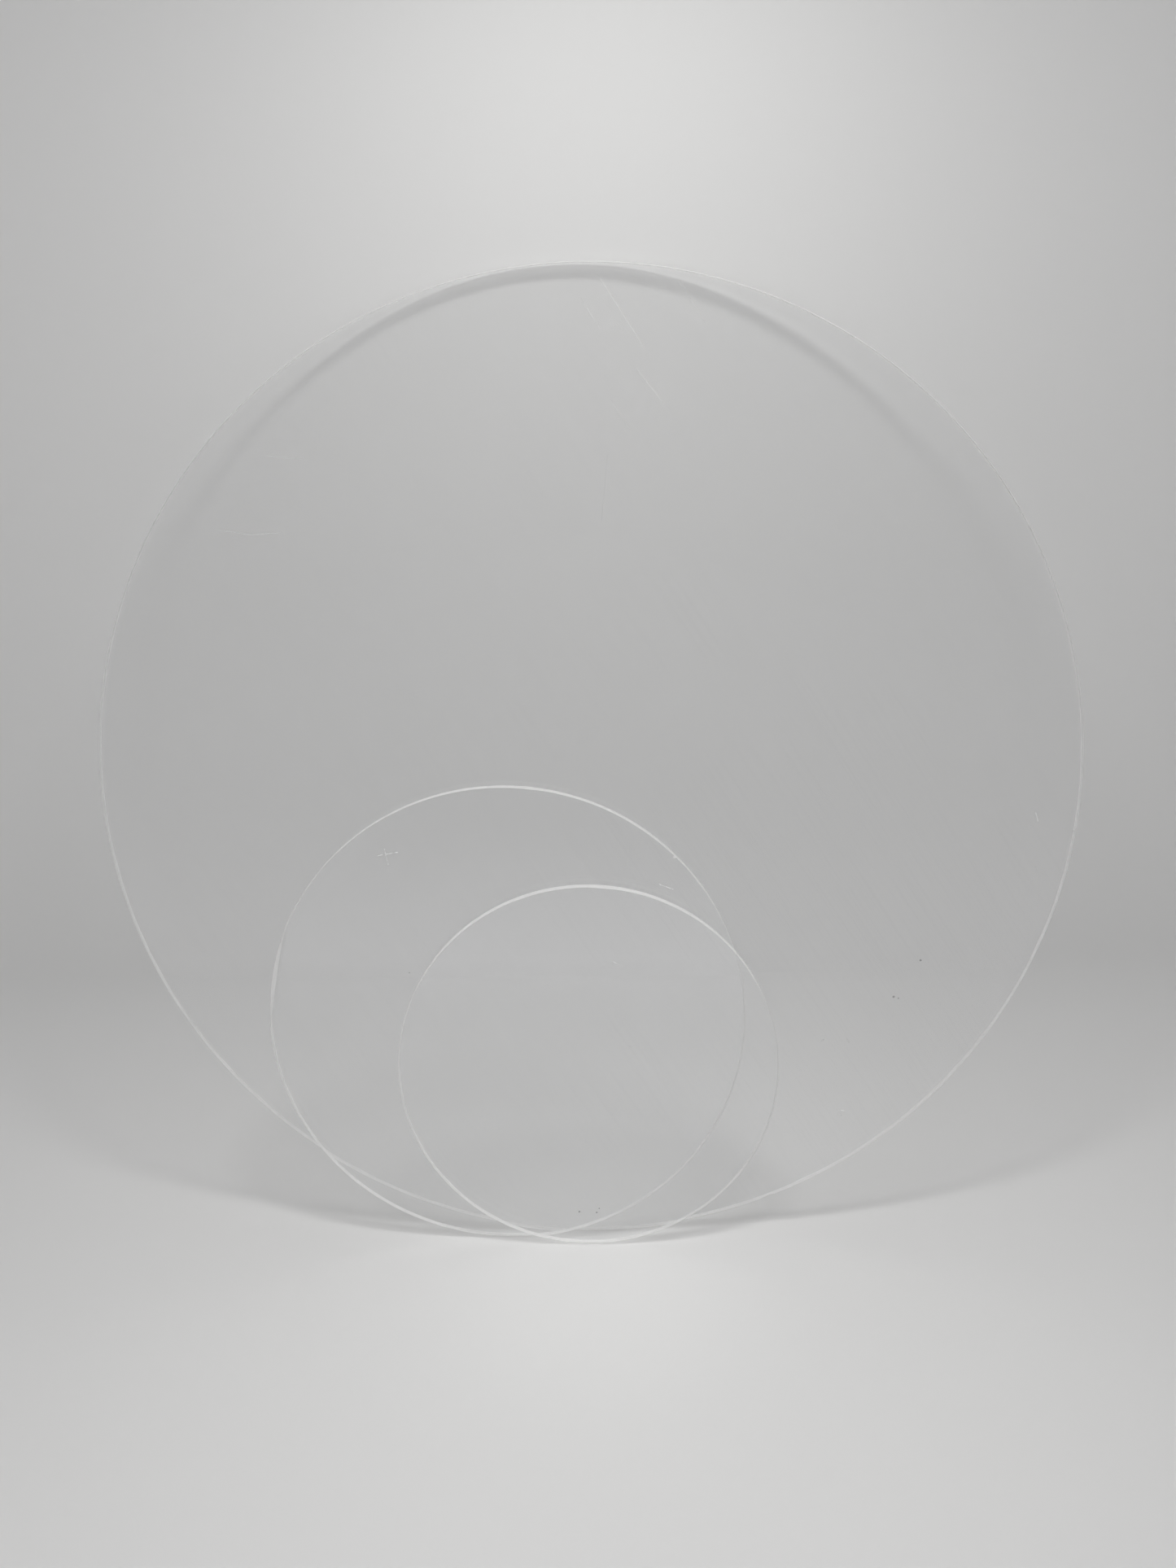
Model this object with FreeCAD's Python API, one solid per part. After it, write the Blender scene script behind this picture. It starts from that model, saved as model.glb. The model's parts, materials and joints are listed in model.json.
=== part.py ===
import FreeCAD, Part
import math
import os

# A nesting set of three circle templates: plain clear acrylic discs whose rims are drawn around.
# Frame: millimetres, +Z up, -Y towards the viewer, +X to the viewer's right.
# Origin: bottom centre of the whole set's bounding box, on the surface the discs stand on.
# The discs stand on their rims and lean back together, flush face to face, largest at the back.

# Driving dimensions, in millimetres and degrees
LARGE_DIAMETER = 300.0
MEDIUM_DIAMETER = 150.0
SMALL_DIAMETER = 120.0
SHEET_THICKNESS = 3.0
EDGE_BREAK = 0.2  # 45 degree chamfer where both corners of the cut rim are deburred
FACE_GAP = 0.1  # air left between two discs that lean on each other
LEAN = 15.0  # every disc leans back this far from upright
MEDIUM_SIDEWAYS = -27.0  # the medium disc stands left of the large disc's middle
SMALL_SIDEWAYS = -1.5  # the small disc stands almost on the large disc's middle

# Node name, diameter, sideways place, and how many discs are behind it
DISCS = [
    ("large_disc", LARGE_DIAMETER, 0.0, 0),
    ("medium_disc", MEDIUM_DIAMETER, MEDIUM_SIDEWAYS, 1),
    ("small_disc", SMALL_DIAMETER, SMALL_SIDEWAYS, 2),
]


def flat_disc(diameter):
    """One disc lying on its back face, with the corners of its rim broken."""
    blank = Part.makeCylinder(diameter / 2.0, SHEET_THICKNESS)
    rim_corners = [edge for edge in blank.Edges if isinstance(edge.Curve, Part.Circle)]
    return blank.makeChamfer(EDGE_BREAK, rim_corners)


def leaning_place(diameter, sideways, discs_behind):
    """Where the centre of a disc's back face goes, and how the disc turns to lean.

    The disc touches the ground with the lower corner of its back rim, and its back face
    lies one gap in front of the disc behind it.
    """
    lean = math.radians(LEAN)
    height = diameter / 2.0 * math.cos(lean) - EDGE_BREAK * math.sin(lean)
    stacked = discs_behind * (SHEET_THICKNESS + FACE_GAP)
    depth = height * math.tan(lean) - stacked / math.cos(lean)
    centre = FreeCAD.Vector(sideways, depth, height)
    turn = FreeCAD.Rotation(FreeCAD.Vector(1, 0, 0), 90.0 - LEAN)
    return FreeCAD.Placement(centre, turn)


def leaning_disc(diameter, sideways, discs_behind):
    """One finished disc, standing on its rim and leaning back."""
    disc = flat_disc(diameter)
    disc.Placement = leaning_place(diameter, sideways, discs_behind)
    return disc


def main():
    """Build the set, centre it in depth over the origin and write one STEP for each disc."""
    os.makedirs("parts", exist_ok=True)
    shapes = {}
    for node, diameter, sideways, discs_behind in DISCS:
        shapes[node] = leaning_disc(diameter, sideways, discs_behind)
    whole_set = Part.makeCompound(list(shapes.values())).optimalBoundingBox()
    to_middle = FreeCAD.Vector(0.0, -whole_set.Center.y, 0.0)
    for node, shape in shapes.items():
        shape.translate(to_middle)
        shape.exportStep("parts/" + node + ".step")
        print(node, "valid", shape.isValid(), "volume", round(shape.Volume, 1), "mm3")
    print("set", whole_set.XLength, "x", whole_set.YLength, "x", whole_set.ZLength, "mm")
    print("lowest point", round(whole_set.ZMin, 4), "back face moved", round(to_middle.y, 4))


main()
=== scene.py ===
import json
import math

import bpy
from mathutils import Matrix, Vector, noise as perlin


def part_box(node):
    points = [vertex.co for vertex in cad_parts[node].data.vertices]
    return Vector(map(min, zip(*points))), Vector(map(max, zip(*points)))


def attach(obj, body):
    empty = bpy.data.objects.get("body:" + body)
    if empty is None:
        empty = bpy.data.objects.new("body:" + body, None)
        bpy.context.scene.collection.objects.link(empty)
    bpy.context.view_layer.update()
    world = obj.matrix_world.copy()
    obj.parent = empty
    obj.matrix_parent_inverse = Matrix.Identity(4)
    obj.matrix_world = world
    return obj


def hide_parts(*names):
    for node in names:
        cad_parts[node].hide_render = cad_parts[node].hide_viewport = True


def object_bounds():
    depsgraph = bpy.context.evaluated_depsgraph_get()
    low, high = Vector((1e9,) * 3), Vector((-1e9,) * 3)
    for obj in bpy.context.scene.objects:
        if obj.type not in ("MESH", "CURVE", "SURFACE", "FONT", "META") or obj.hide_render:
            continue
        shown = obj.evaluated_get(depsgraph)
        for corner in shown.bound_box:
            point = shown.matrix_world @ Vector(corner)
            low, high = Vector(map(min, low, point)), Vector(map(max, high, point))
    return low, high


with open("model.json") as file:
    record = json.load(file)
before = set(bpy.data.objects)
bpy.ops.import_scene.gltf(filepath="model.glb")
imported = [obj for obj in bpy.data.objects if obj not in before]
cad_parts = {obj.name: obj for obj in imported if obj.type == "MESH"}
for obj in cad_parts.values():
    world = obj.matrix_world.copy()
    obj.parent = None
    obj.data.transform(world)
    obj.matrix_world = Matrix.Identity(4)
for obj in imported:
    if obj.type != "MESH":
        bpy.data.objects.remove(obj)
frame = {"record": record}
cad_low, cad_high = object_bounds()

# A nesting set of three clear acrylic circle templates, leaning together on a white backdrop.
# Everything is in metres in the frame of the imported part: +Z up, -Y towards the viewer.

MILLIMETRES = 1000.0  # in a metre

# The discs
THICKNESS = 0.003  # acrylic sheet
EDGE_BREAK = 0.0002  # deburred corners of the cut rim
ACRYLIC_IOR = 1.49
SEGMENTS = 2400  # round each rim
RIM_ROWS = 8  # across the cut rim
BREAK_VARIES = 0.00022  # how much wider the hand-scraped edge break gets in places
BREAK_PITCH = 0.008  # along the rim
BREAK_SIDES = 10.0  # where the front corner lies in the noise; the back one is at minus this
SAW_DEPTH = 0.00005  # relief of the cut rim
SAW_PITCH = 0.0016  # along the rim
SHARP_FROM = math.radians(30.0)  # corners sharper than this aren't shaded smooth
FACE_RINGS = (0.5, 0.9)  # mesh rings on a face, as shares of the radius
LAST_RING = 0.002  # inside the rim
FACE_SLOT = 0
RIM_SLOT = 1
CORNER_SLOT = 2

# Where the cutter left the rim rougher: degrees clockwise from the top of a disc, from and to
ROUGH_STRETCHES = {
    "large_disc": ((110.0, 130.0), (150.0, 162.0), (205.0, 240.0)),
    "medium_disc": ((200.0, 235.0),),
    "small_disc": (),
}
ROUGH_DEPTH = 0.00018
ROUGH_FADE = 2.0  # degrees outside a rough stretch
ROUGH_LONGER = 3.0  # than the saw marks, along the rim
ROUGH_FINER = 4.0  # than the saw marks, across the rim

# Chips in the front corner of a rim: degrees clockwise from the top, half width, depth. The
# wide one on the medium disc is a flat that the cutter left.
CHIPS = {
    "large_disc": ((96.5, 0.0007, 0.0006), (158.0, 0.0025, 0.0003), (323.5, 0.0005, 0.0003)),
    "medium_disc": (
        (45.3, 0.0006, 0.0006),
        (281.0, 0.0170, 0.0014),
        (300.0, 0.0005, 0.0003),
    ),
    "small_disc": ((301.0, 0.0004, 0.0003),),
}

# Marks on the front faces, in millimetres across and up from the middle of the disc. Scratches
# and nicks run from one end to the other and have a strength.
SCRATCHES = {
    "large_disc": (
        (5, 146, 18, 126, 0.2),
        (16, 120, 24, 110, 0.22),
        (0, 140, 5, 132, 0.16),
        (28, 144, 35, 133, 0.18),
        (8, 112, 14, 103, 0.12),
        (-93, 98, -82, 97, 0.2),
        (-108, 77, -98, 75.5, 0.25),
        (-98, 75.5, -89, 76, 0.22),
        (7, 97, 5, 78, 0.1),
        (72.4, -85.2, 73.4, -84.6, 0.8),
        (80.6, -84.4, 81.4, -85.6, 0.8),
        (77.5, -108.8, 80.5, -109.0, 1.0),
        (78.6, -110.2, 79.6, -110.6, 0.7),
        (136.4, -11.6, 137.2, -14.2, 0.8),
        (137.2, -28.6, 137.8, -29.4, 0.8),
    ),
    "medium_disc": (
        (-38, 54, -32, 55, 0.9),
        (-36, 56, -35, 51, 0.7),
        (48, 44, 53, 42, 0.9),
        (50.5, 41.4, 51.3, 40.4, 0.8),
        (46, -59, 49, -57.6, 0.9),
        (50, -57.2, 55, -56.8, 0.8),
        (49, -62, 51, -58.5, 0.8),
        (52.6, -60.4, 54.0, -58.8, 0.9),
    ),
    "small_disc": (
        (8, 36, 10, 35, 0.9),
        (13, 8, 14, 8, 0.9),
    ),
}
# Specks are dark: middle and radius.
SPECKS = {
    "large_disc": ((95, -70.5, 0.5), (96.5, -71, 0.3), (103, -58.5, 0.45)),
    "medium_disc": ((-30, 16, 0.2),),
    "small_disc": ((-3.6, -48.7, 0.4), (2, -49, 0.35), (2.8, -47.6, 0.25)),
}
SCRATCH_WIDTH = 0.2  # millimetres, half
BREAKS_PER_MM = 1.3  # how finely a scratch is broken up along its length
BREAK_FADE = (0.42, 0.50)  # noise levels where a scratch fades in
MARK_ROUGHNESS = 0.5  # of a full mark
DEEP_MARKS = (0.3, 0.6)  # marks of these strengths begin to have, and have, scraped flanks
MARK_LIFT = 0.8  # how far those flanks turn up towards the light
STREAK_SLANT = math.radians(57.0)  # down to the right
STREAK_LENGTH = 60.0  # millimetres
STREAK_WIDTH = 0.7
STREAK_FADE = (0.45, 0.68)  # noise levels where a streak fades in
PATCHES_PER_MM = 0.02  # the broad patches where the sheet is rubbed
PATCH_FADE = (0.25, 0.5)
# How much of the rub streaks each sheet shows
RUBBED = {"large_disc": 0.35, "medium_disc": 0.2, "small_disc": 0.1}
CLEAR_TINT = (0.998, 0.999, 1.0, 1.0)
RUBBED_TINT = (0.965, 0.966, 0.968, 1.0)
MARK_TINT = (1.0, 1.0, 1.0, 1.0)
SPECK_TINT = (0.2, 0.2, 0.2, 1.0)
SPECK_STRENGTH = 0.8
SPECK_CORE = 0.5  # the share of a speck's radius that is fully dark
RIM_GREY = (0.97, 0.97, 0.97, 1.0)
# the rim's darker tone, down the right of the two smaller discs
RIM_DARKER = (0.86, 0.86, 0.86, 1.0)
RIM_WHITE = (0.995, 0.995, 0.995, 1.0)
RIM_GRAIN = (900.0, 0.00004)  # grains in a metre, depth
CORNER_GRAIN = (2500.0, 0.00008)
GRAIN_FADE = (0.3, 0.7)
GRAIN_STRENGTH = 0.8
RIM_ROUGHNESS = 0.5
RIM_SHADE = (0.4, 0.4, 0.4, 1.0)  # what a frosted rim lets straight through to a lamp
RIM_THROUGH = 0.6  # the share of light that a frosted rim lets through
# How much darker the rim of each disc turns down its right-hand side
DARKER_RIGHT = {"large_disc": 0.0, "medium_disc": 1.0, "small_disc": 1.0}
DARKER_SIDE = Vector((0.94, -0.34, 0.0))  # right and a little down, on the face
DARKER_SHARES = (0.45, 0.85)  # of the radius, towards that side: where the rim turns darker

# The backdrop: a white sheet that hangs behind the discs and bends forward into the floor
BACKDROP_BEND = 0.05  # radius of the bend
BACKDROP_CLEARANCE = 0.0003  # between the large disc's top and the sheet
BEND_STEPS = 24
STAGE_REACH = 3.0  # of the sheet, in front and to each side
BACKDROP_HEIGHT = 1.2
SHEET_GREY = 0.8
BACKDROP_TURN = 1.1  # degrees, the right-hand side further back
FLOOR_FADES = (0.45, 1.3)  # in front of the discs, where the floor gives way to the room

# The light: a small lamp high up over the discs, a weak lamp that pools on the floor, a very
# weak one that lights the floor at the discs' feet as the glow out of their lower rims does, a
# lamp further out over the front of the floor, and a pale room
LAMPS = (
    # name, place, tilt and spread in degrees, size, power in watts
    ("roof_lamp", (0.010, -0.060, 0.450), 30.0, 180.0, (0.06, 0.05), 0.40),
    ("pool_lamp", (0.0, -0.100, 0.490), 0.0, 80.0, (0.10, 0.10), 0.035),
    ("contact_lamp", (0.0, -0.100, 0.280), -11.0, 30.0, (0.05, 0.05), 0.0018),
    ("table_lamp", (0.0, -1.0, 0.9), 0.0, 180.0, (0.50, 0.50), 2.80),
)
UNMIRRORED = ("table_lamp",)  # lamps that show no hard image of themselves in the discs
LAMP_TINT = (1.0, 0.998, 0.978)
# The room's brightness. In front and at the sides it falls in smooth steps, each between two
# heights of a unit direction; overhead it rises in one.
FRONT_STEPS = (
    # from, to, brightness
    (-0.10, 0.08, 0.51),
    (0.06, 0.24, 0.22),
    (0.20, 0.50, 0.11),
)
SIDE_STEP = (0.30, 0.60, 0.56)
OVERHEAD_STEP = (0.75, 1.0, 1.39)
SIDES_BEGIN = (0.45, 0.80)  # sideways share of a level direction
ROOM_TINT = (1.0, 0.995, 1.0, 1.0)

# The camera, measured from the point where the large disc stands
CAMERA_SIDE = 0.00675
CAMERA_DISTANCE = 0.3198
CAMERA_HEIGHT = 0.32325
CAMERA_PITCH = 26.65  # degrees down
CAMERA_YAW = -1.12  # degrees to the right
CAMERA_ROLL = -1.22  # degrees
FOCAL_IN_FRAMES = 0.8303  # focal length over the frame's long side
SENSOR = 36.0  # millimetres, on the long side


# ---------------------------------------------------------------- the discs' own axes

front_mount = next(m for m in frame["record"]["mounts"] if m["name"] == "small_disc_front")
FRONT = Vector(front_mount["axis"]).normalized()  # out of every front face
ACROSS = Vector((1.0, 0.0, 0.0))
UP_FACE = FRONT.cross(ACROSS).normalized()  # up along every face


def disc_place(node):
    """The centre and radius of a CAD disc."""
    low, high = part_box(node)
    return (low + high) / 2, (high.x - low.x) / 2


def to_frame(centre):
    """The matrix from a disc's own axes (across, up its face, out of its front) to the frame."""
    turn = Matrix((ACROSS, UP_FACE, FRONT)).transposed().to_4x4()
    return Matrix.Translation(centre) @ turn


# ---------------------------------------------------------------- node helpers


def new_material(name):
    """An empty node material and its output node."""
    material = bpy.data.materials.new(name)
    material.use_nodes = True
    tree = material.node_tree
    tree.nodes.clear()
    output = tree.nodes.new("ShaderNodeOutputMaterial")
    return material, tree, output


def add_node(tree, kind, inputs=None, **settings):
    """A node with its settings and inputs. An input is a socket to link or a plain value."""
    node = tree.nodes.new(kind)
    for key, value in settings.items():
        setattr(node, key, value)
    for key, value in (inputs or {}).items():
        if isinstance(value, bpy.types.NodeSocket):
            tree.links.new(value, node.inputs[key])
        else:
            node.inputs[key].default_value = value
    return node


def maths(tree, operation, *values):
    """The output of a Math node."""
    inputs = dict(enumerate(values))
    return add_node(tree, "ShaderNodeMath", inputs, operation=operation).outputs[0]


def mix_colours(tree, factor, first, second):
    """The output of a Mix node between two colours. Its colour sockets are A, 6, and B, 7, and
    its colour result is 2."""
    inputs = {"Factor": factor, 6: first, 7: second}
    return add_node(tree, "ShaderNodeMix", inputs, data_type="RGBA").outputs[2]


def mix_shaders(tree, factor, first, second):
    """The output of a Mix Shader node: the first shader at factor 0, the second at 1."""
    return add_node(tree, "ShaderNodeMixShader", {0: factor, 1: first, 2: second}).outputs[0]


def remap(tree, value, low, high, to_low, to_high):
    """The output of a clamped smooth Map Range node."""
    inputs = {
        "Value": value,
        "From Min": low,
        "From Max": high,
        "To Min": to_low,
        "To Max": to_high,
    }
    node = add_node(tree, "ShaderNodeMapRange", inputs, interpolation_type="SMOOTHSTEP")
    return node.outputs[0]


def lamp_window(tree):
    """The Transparent shader that lamps see: clear, less what each face mirrors at that angle.
    Where a ray leaves the sheet, the IOR is taken the other way up."""
    behind = add_node(tree, "ShaderNodeNewGeometry").outputs["Backfacing"]
    ior = maths(tree, "POWER", ACRYLIC_IOR, maths(tree, "MULTIPLY_ADD", behind, -2.0, 1.0))
    mirrored = add_node(tree, "ShaderNodeFresnel", {"IOR": ior}).outputs[0]
    through = maths(tree, "SUBTRACT", 1.0, mirrored)
    return add_node(tree, "ShaderNodeBsdfTransparent", {"Color": through}).outputs[0]


def vector_maths(tree, operation, *values):
    """The node of a Vector Math operation."""
    return add_node(
        tree, "ShaderNodeVectorMath", dict(enumerate(values)), operation=operation
    )


def on_disc(tree, node):
    """Across and up a disc's face from its middle, as one vector in millimetres, and how far
    in front of the sheet's middle, in metres."""
    centre = disc_place(node)[0]
    place = add_node(tree, "ShaderNodeTexCoord").outputs["Object"]
    offset = vector_maths(tree, "SUBTRACT", place, centre).outputs["Vector"]
    across = vector_maths(tree, "DOT_PRODUCT", offset, ACROSS * MILLIMETRES).outputs["Value"]
    up = vector_maths(tree, "DOT_PRODUCT", offset, UP_FACE * MILLIMETRES).outputs["Value"]
    ahead = vector_maths(tree, "DOT_PRODUCT", offset, FRONT).outputs["Value"]
    flat = add_node(tree, "ShaderNodeCombineXYZ", {"X": across, "Y": up}).outputs[0]
    return flat, ahead


def noise(tree, place, scale, fade, detail=2.0):
    """Noise over a vector, faded smoothly from 0 to 1 between two levels."""
    inputs = {"Vector": place, "Scale": scale, "Detail": detail}
    grain = add_node(tree, "ShaderNodeTexNoise", inputs).outputs[0]
    return remap(tree, grain, *fade, 0.0, 1.0)


def scratch_mask(tree, place, x0, y0, x1, y1, strength):
    """Strength on a scratch, 0 away from it."""
    start = Vector((x0, y0, 0.0))
    along = Vector((x1, y1, 0.0)) - start
    offset = vector_maths(tree, "SUBTRACT", place, start).outputs["Vector"]
    unit = along / along.length_squared
    share = vector_maths(tree, "DOT_PRODUCT", offset, unit).outputs["Value"]
    held = add_node(tree, "ShaderNodeClamp", {"Value": share}).outputs[0]
    nearest = vector_maths(tree, "SCALE", along)
    tree.links.new(held, nearest.inputs["Scale"])
    gap = vector_maths(tree, "DISTANCE", offset, nearest.outputs["Vector"]).outputs["Value"]
    return remap(tree, gap, 0.0, SCRATCH_WIDTH, strength, 0.0)


def round_mask(tree, place, x, y, radius):
    """A speck's strength in its core, fading to 0 at its radius."""
    gap = vector_maths(tree, "DISTANCE", place, Vector((x, y, 0.0))).outputs["Value"]
    return remap(tree, gap, radius * SPECK_CORE, radius, SPECK_STRENGTH, 0.0)


def strongest(tree, masks):
    """The highest of some masks."""
    top = masks[0]
    for mask in masks[1:]:
        top = maths(tree, "MAXIMUM", top, mask)
    return top


def scratches(tree, node, place):
    """The mask of the scratches and nicks, broken up along their length."""
    lines = [scratch_mask(tree, place, *scratch) for scratch in SCRATCHES[node]]
    broken = noise(tree, place, BREAKS_PER_MM, BREAK_FADE)
    return maths(tree, "MULTIPLY", strongest(tree, lines), broken)


def streaks(tree, place):
    """Very fine rub marks that run across the whole sheet at one slant."""
    along = Vector((math.cos(STREAK_SLANT), -math.sin(STREAK_SLANT), 0.0)) / STREAK_LENGTH
    across = Vector((math.sin(STREAK_SLANT), math.cos(STREAK_SLANT), 0.0)) / STREAK_WIDTH
    u = vector_maths(tree, "DOT_PRODUCT", place, along).outputs["Value"]
    v = vector_maths(tree, "DOT_PRODUCT", place, across).outputs["Value"]
    slanted = add_node(tree, "ShaderNodeCombineXYZ", {"X": u, "Y": v}).outputs[0]
    fine = noise(tree, slanted, 1.0, STREAK_FADE, detail=3.0)
    broad = noise(tree, place, PATCHES_PER_MM, PATCH_FADE)
    return maths(tree, "MULTIPLY", fine, broad)


# ---------------------------------------------------------------- materials


def clear_face_material(name, node):
    """Polished acrylic face with the rub streaks, scratches, nicks and specks of use."""
    material, tree, output = new_material(name)
    place, ahead = on_disc(tree, node)
    in_front = maths(tree, "GREATER_THAN", ahead, 0.0)
    marks = maths(tree, "MULTIPLY", scratches(tree, node, place), in_front)
    dark = [round_mask(tree, place, *speck) for speck in SPECKS[node]]
    specks = maths(tree, "MULTIPLY", strongest(tree, dark), in_front)
    rubbed = maths(tree, "MULTIPLY", streaks(tree, place), RUBBED[node])
    clear = mix_colours(tree, rubbed, CLEAR_TINT, RUBBED_TINT)
    whitened = mix_colours(tree, marks, clear, MARK_TINT)
    colour = mix_colours(tree, specks, whitened, SPECK_TINT)
    lift = remap(tree, marks, *DEEP_MARKS, 0.0, MARK_LIFT)
    upward = add_node(tree, "ShaderNodeCombineXYZ", {"Z": lift}).outputs[0]
    facing = add_node(tree, "ShaderNodeNewGeometry").outputs["Normal"]
    turned = vector_maths(tree, "ADD", facing, upward).outputs["Vector"]
    relief = vector_maths(tree, "NORMALIZE", turned).outputs["Vector"]
    glass = add_node(
        tree,
        "ShaderNodeBsdfPrincipled",
        {
            "Base Color": colour,
            "Roughness": maths(tree, "MULTIPLY", marks, MARK_ROUGHNESS),
            "IOR": ACRYLIC_IOR,
            "Transmission Weight": maths(tree, "SUBTRACT", 1.0, marks),
            "Normal": relief,
        },
    )
    glass.inputs["Roughness"].default_value = 0.0  # what a clean face has
    glass.inputs["Transmission Weight"].default_value = 1.0
    is_lamp_ray = add_node(tree, "ShaderNodeLightPath").outputs["Is Shadow Ray"]
    surface = mix_shaders(tree, is_lamp_ray, glass.outputs[0], lamp_window(tree))
    tree.links.new(surface, output.inputs["Surface"])
    return material


def frosted_material(name, node, relief_scale, relief_depth):
    """Matt white cut acrylic, which also lets some light through. It is darker down the right
    of the two smaller discs."""
    material, tree, output = new_material(name)
    flat = on_disc(tree, node)[0]
    to_right = vector_maths(tree, "DOT_PRODUCT", flat, DARKER_SIDE).outputs["Value"]
    radius = disc_place(node)[1] * MILLIMETRES
    begins, ends = DARKER_SHARES
    # how much darker the rim is here, rising towards its right-hand side
    darker = remap(tree, to_right, begins * radius, ends * radius, 0.0, DARKER_RIGHT[node])
    place = add_node(tree, "ShaderNodeTexCoord").outputs["Object"]
    grain = noise(tree, place, relief_scale, GRAIN_FADE, detail=4.0)
    relief = add_node(
        tree,
        "ShaderNodeBump",
        {"Strength": GRAIN_STRENGTH, "Distance": relief_depth, "Height": grain},
    ).outputs[0]
    clean = mix_colours(tree, grain, RIM_GREY, RIM_WHITE)
    tone = mix_colours(tree, darker, clean, RIM_DARKER)
    frosted = add_node(
        tree,
        "ShaderNodeBsdfPrincipled",
        {"Base Color": tone, "Roughness": RIM_ROUGHNESS, "IOR": ACRYLIC_IOR, "Normal": relief},
    )
    lit_through = add_node(
        tree, "ShaderNodeBsdfTranslucent", {"Color": tone, "Normal": relief}
    )
    seen = mix_shaders(tree, RIM_THROUGH, frosted.outputs[0], lit_through.outputs[0])
    haze = add_node(tree, "ShaderNodeBsdfTransparent", {"Color": RIM_SHADE})
    is_lamp_ray = add_node(tree, "ShaderNodeLightPath").outputs["Is Shadow Ray"]
    surface = mix_shaders(tree, is_lamp_ray, seen, haze.outputs[0])
    tree.links.new(surface, output.inputs["Surface"])
    return material


def paper_material(name, grey):
    """Plain white sheet, seen from the front only, that fades into the room far in front."""
    material, tree, output = new_material(name)
    paper = add_node(
        tree,
        "ShaderNodeBsdfDiffuse",
        {"Color": (grey, grey, grey, 1.0), "Roughness": 0.0},
    )
    geometry = add_node(tree, "ShaderNodeNewGeometry")
    place = add_node(tree, "ShaderNodeSeparateXYZ", {0: geometry.outputs["Position"]})
    near, far = FLOOR_FADES
    faded = remap(tree, place.outputs["Y"], -far, -near, 1.0, 0.0)
    unseen = maths(tree, "MAXIMUM", geometry.outputs["Backfacing"], faded)
    nothing = add_node(tree, "ShaderNodeBsdfTransparent")
    surface = mix_shaders(tree, unseen, paper.outputs[0], nothing.outputs[0])
    tree.links.new(surface, output.inputs["Surface"])
    return material


# ---------------------------------------------------------------- disc meshes


def stretch_roughness(node, degrees):
    """1 in the rough stretches of a rim, fading to 0 outside them."""
    level = 0.0
    for start, end in ROUGH_STRETCHES[node]:
        outside = max(start - degrees, degrees - end, 0.0)
        level = max(level, 1.0 - min(outside / ROUGH_FADE, 1.0))
    return level


def chip_depth(node, radius, degrees, ahead):
    """How deep the chips cut the rim. They are in the front corner: ahead is 0 at the middle
    of the sheet and 1 at its front."""
    depth = 0.0
    for middle, half_width, deepest in CHIPS[node]:
        along = math.radians(degrees - middle) * radius / half_width
        depth = max(depth, deepest * max(0.0, 1.0 - along * along) * max(0.0, ahead))
    return depth


def wave(x, y, z):
    """Smooth noise between 0 and 1."""
    return 0.5 + 0.5 * perlin.noise(Vector((x, y, z)))


def rim_relief(node, radius, angle, height):
    """How far the cut rim lies inside its nominal radius."""
    degrees = math.degrees(angle)
    share = 2.0 * height / THICKNESS
    x = radius * math.sin(angle) / SAW_PITCH
    y = radius * math.cos(angle) / SAW_PITCH
    saw = wave(x, y, height / SAW_PITCH)
    coarse = wave(x / ROUGH_LONGER, y / ROUGH_LONGER, ROUGH_FINER * height / SAW_PITCH)
    rough = ROUGH_DEPTH * stretch_roughness(node, degrees) * coarse
    return SAW_DEPTH * saw + rough + chip_depth(node, radius, degrees, share)


def edge_break(node, radius, angle, side):
    """The width of the deburred corner, which wanders as a hand scraper leaves it. The side is
    -1 for the back corner and 1 for the front one."""
    x = radius * math.sin(angle) / BREAK_PITCH
    y = radius * math.cos(angle) / BREAK_PITCH
    wander = max(0.0, perlin.noise(Vector((x, y, BREAK_SIDES * side))))
    chip = chip_depth(node, radius, math.degrees(angle), side)
    return EDGE_BREAK + BREAK_VARIES * wander + chip


def rim_profile(node, radius, angle):
    """(radius, height) of each point of a disc's section at an angle, back to front."""
    half = THICKNESS / 2
    inner = [radius * share for share in FACE_RINGS]
    inner.append(radius - LAST_RING)
    cut = THICKNESS - 2 * EDGE_BREAK
    points = [(r, -half) for r in inner]
    points.append((radius - edge_break(node, radius, angle, -1), -half))
    for row in range(RIM_ROWS + 1):
        height = -half + EDGE_BREAK + cut * row / RIM_ROWS
        points.append((radius - rim_relief(node, radius, angle, height), height))
    points.append((radius - edge_break(node, radius, angle, 1), half))
    points += [(r, half) for r in reversed(inner)]
    return points


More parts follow.
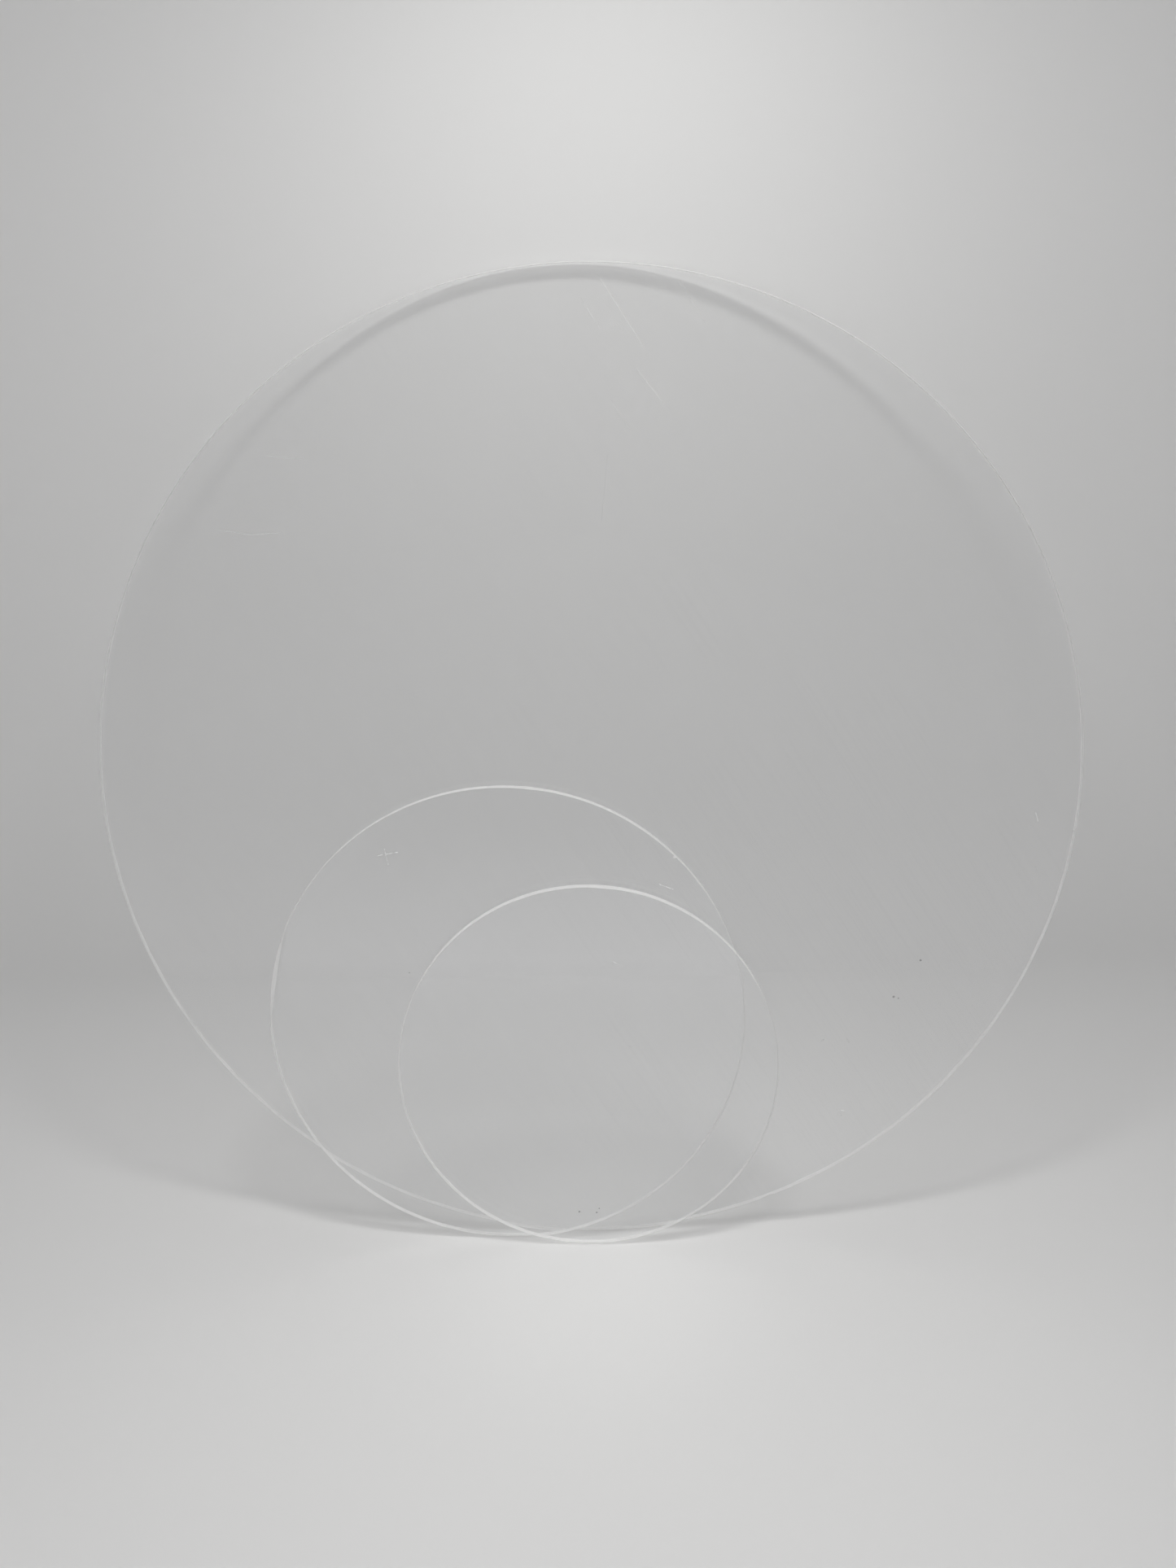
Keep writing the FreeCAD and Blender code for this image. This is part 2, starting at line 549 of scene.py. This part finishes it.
def disc_mesh(name, node, radius):
    """One disc in its own axes, with a material slot each for faces, cut rim and corners."""
    rows = []
    for step in range(SEGMENTS):
        angle = step * 2 * math.pi / SEGMENTS
        profile = rim_profile(node, radius, angle)
        rows.append([(r * math.sin(angle), r * math.cos(angle), h) for r, h in profile])
    count = len(rows[0])
    points = [(0.0, 0.0, -THICKNESS / 2)]
    for row in rows:
        points += row
    points.append((0.0, 0.0, THICKNESS / 2))
    last = len(points) - 1
    back_break = len(FACE_RINGS) + 1  # where the back corner comes in a section
    front_break = back_break + RIM_ROWS + 1
    faces = []
    slots = []
    for i in range(SEGMENTS):
        # the first points of this section and of the next one
        a = 1 + i * count
        b = 1 + (i + 1) % SEGMENTS * count
        faces.append((0, a, b))
        slots.append(FACE_SLOT)
        for k in range(count - 1):
            faces.append((a + k, a + k + 1, b + k + 1, b + k))
            if k in (back_break, front_break):
                slots.append(CORNER_SLOT)
            else:
                slots.append(RIM_SLOT if back_break < k < front_break else FACE_SLOT)
        faces.append((a + count - 1, last, b + count - 1))
        slots.append(FACE_SLOT)
    mesh = bpy.data.meshes.new(name)
    mesh.from_pydata(points, [], faces)
    mesh.polygons.foreach_set("material_index", slots)
    mesh.polygons.foreach_set("use_smooth", [True] * len(faces))
    mesh.set_sharp_from_angle(angle=SHARP_FROM)
    mesh.update()
    return mesh


def disc_piece(node, body):
    """The detailed disc that stands for a CAD disc."""
    centre, radius = disc_place(node)
    mesh = disc_mesh(node + "_clear", node, radius)
    mesh.transform(to_frame(centre))
    mesh.materials.append(clear_face_material(body + "_face", node))
    mesh.materials.append(frosted_material(body + "_cut_rim", node, *RIM_GRAIN))
    mesh.materials.append(frosted_material(body + "_scraped_corner", node, *CORNER_GRAIN))
    piece = bpy.data.objects.new(node + "_clear", mesh)
    bpy.context.scene.collection.objects.link(piece)
    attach(piece, body)
    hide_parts(node)
    return piece


# ---------------------------------------------------------------- stage, light and camera


def backdrop():
    """White sheet: floor, bend and wall, in one mesh."""
    wall = cad_high.y + BACKDROP_CLEARANCE
    outline = [(-STAGE_REACH, 0.0)]
    for step in range(BEND_STEPS + 1):
        angle = math.pi / 2 * step / BEND_STEPS
        y = wall - BACKDROP_BEND + BACKDROP_BEND * math.sin(angle)
        z = BACKDROP_BEND - BACKDROP_BEND * math.cos(angle)
        outline.append((y, z))
    outline.append((wall, BACKDROP_HEIGHT))
    points = []
    for y, z in outline:
        points.append((-STAGE_REACH, y, z))
        points.append((STAGE_REACH, y, z))
    faces = []
    for i in range(len(outline) - 1):
        faces.append((2 * i, 2 * i + 1, 2 * i + 3, 2 * i + 2))
    mesh = bpy.data.meshes.new("backdrop")
    mesh.from_pydata(points, [], faces)
    mesh.polygons.foreach_set("use_smooth", [True] * len(faces))
    mesh.materials.append(paper_material("white_sheet", SHEET_GREY))
    turned = Matrix.Rotation(math.radians(BACKDROP_TURN), 4, "Z")
    pivot = Matrix.Translation((0.0, wall, 0.0))
    mesh.transform(pivot @ turned @ pivot.inverted())
    mesh.update()
    sheet = bpy.data.objects.new("backdrop", mesh)
    bpy.context.scene.collection.objects.link(sheet)
    return sheet


def area_lamp(name, place, tilt, spread, size, power):
    """A lamp facing down, tilted away from the wall. Its rays pass the faces as lamp_window
    says, so it isn't seen a second time through the acrylic."""
    data = bpy.data.lights.new(name, "AREA")
    data.shape = "RECTANGLE"
    data.size, data.size_y = size
    data.spread = math.radians(spread)
    data.energy = power
    data.color = LAMP_TINT
    lamp = bpy.data.objects.new(name, data)
    lamp.location = place
    lamp.rotation_euler = (-math.radians(tilt), 0.0, 0.0)
    lamp.visible_camera = False
    lamp.visible_transmission = False
    lamp.visible_glossy = name not in UNMIRRORED
    bpy.context.scene.collection.objects.link(lamp)


def surroundings():
    """A pale room: bright near the horizon in front and at both sides, and overhead."""
    world = bpy.data.worlds.new("room")
    world.use_nodes = True
    tree = world.node_tree
    tree.nodes.clear()
    output = tree.nodes.new("ShaderNodeOutputWorld")
    direction = add_node(tree, "ShaderNodeTexCoord").outputs["Generated"]
    parts = add_node(tree, "ShaderNodeSeparateXYZ", {0: direction}).outputs
    upward = parts["Z"]
    squared = maths(tree, "POWER", upward, 2.0)
    level = maths(tree, "SQRT", maths(tree, "SUBTRACT", 1.0001, squared))  # never quite 0
    sideways = maths(tree, "DIVIDE", maths(tree, "ABSOLUTE", parts["X"]), level)
    beside = remap(tree, sideways, *SIDES_BEGIN, 0.0, 1.0)
    ahead = maths(tree, "SUBTRACT", 1.0, beside)
    light = remap(tree, upward, *OVERHEAD_STEP[:2], 0.0, OVERHEAD_STEP[2])
    walls = remap(tree, upward, *SIDE_STEP, 0.0)
    light = maths(tree, "MULTIPLY_ADD", walls, beside, light)
    for step in FRONT_STEPS:
        light = maths(tree, "MULTIPLY_ADD", remap(tree, upward, *step, 0.0), ahead, light)
    sky = add_node(tree, "ShaderNodeBackground", {"Color": ROOM_TINT, "Strength": light})
    tree.links.new(sky.outputs[0], output.inputs["Surface"])
    world.cycles.sampling_method = "NONE"
    bpy.context.scene.world = world


def photo_camera():
    """The camera at the photograph's viewing angle."""
    low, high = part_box("large_disc")
    stands_at = Vector((0.0, low.y + THICKNESS * -FRONT.y, 0.0))
    pitch = math.radians(CAMERA_PITCH)
    yaw = math.radians(CAMERA_YAW)
    roll = math.radians(CAMERA_ROLL)
    forward = Vector(
        (math.sin(yaw) * math.cos(pitch), math.cos(yaw) * math.cos(pitch), -math.sin(pitch))
    )
    level_right = forward.cross(Vector((0.0, 0.0, 1.0))).normalized()
    level_up = level_right.cross(forward)
    right = level_right * math.cos(roll) + level_up * math.sin(roll)
    up = level_up * math.cos(roll) - level_right * math.sin(roll)
    turn = Matrix((right, up, -forward)).transposed().to_4x4()
    place = stands_at + Vector((CAMERA_SIDE, -CAMERA_DISTANCE, CAMERA_HEIGHT))
    data = bpy.data.cameras.new("camera")
    data.sensor_width = SENSOR
    data.lens = SENSOR * FOCAL_IN_FRAMES
    camera = bpy.data.objects.new("camera", data)
    camera.matrix_world = Matrix.Translation(place) @ turn
    bpy.context.scene.collection.objects.link(camera)
    bpy.context.scene.camera = camera


# ---------------------------------------------------------------- the scene

for body in ("large", "medium", "small"):
    disc_piece(body + "_disc", body)

backdrop()
surroundings()
for lamp in LAMPS:
    area_lamp(*lamp)
photo_camera()
scene = bpy.context.scene
scene.view_settings.view_transform = "Standard"
# The sheets guide light to their rims over many reflections, so there are many bounces and no
# filtering of glossy light.
scene.cycles.transparent_max_bounces = 24
scene.cycles.transmission_bounces = 24
scene.cycles.glossy_bounces = 64
scene.cycles.diffuse_bounces = 6
scene.cycles.max_bounces = 96
scene.cycles.blur_glossy = 0.0
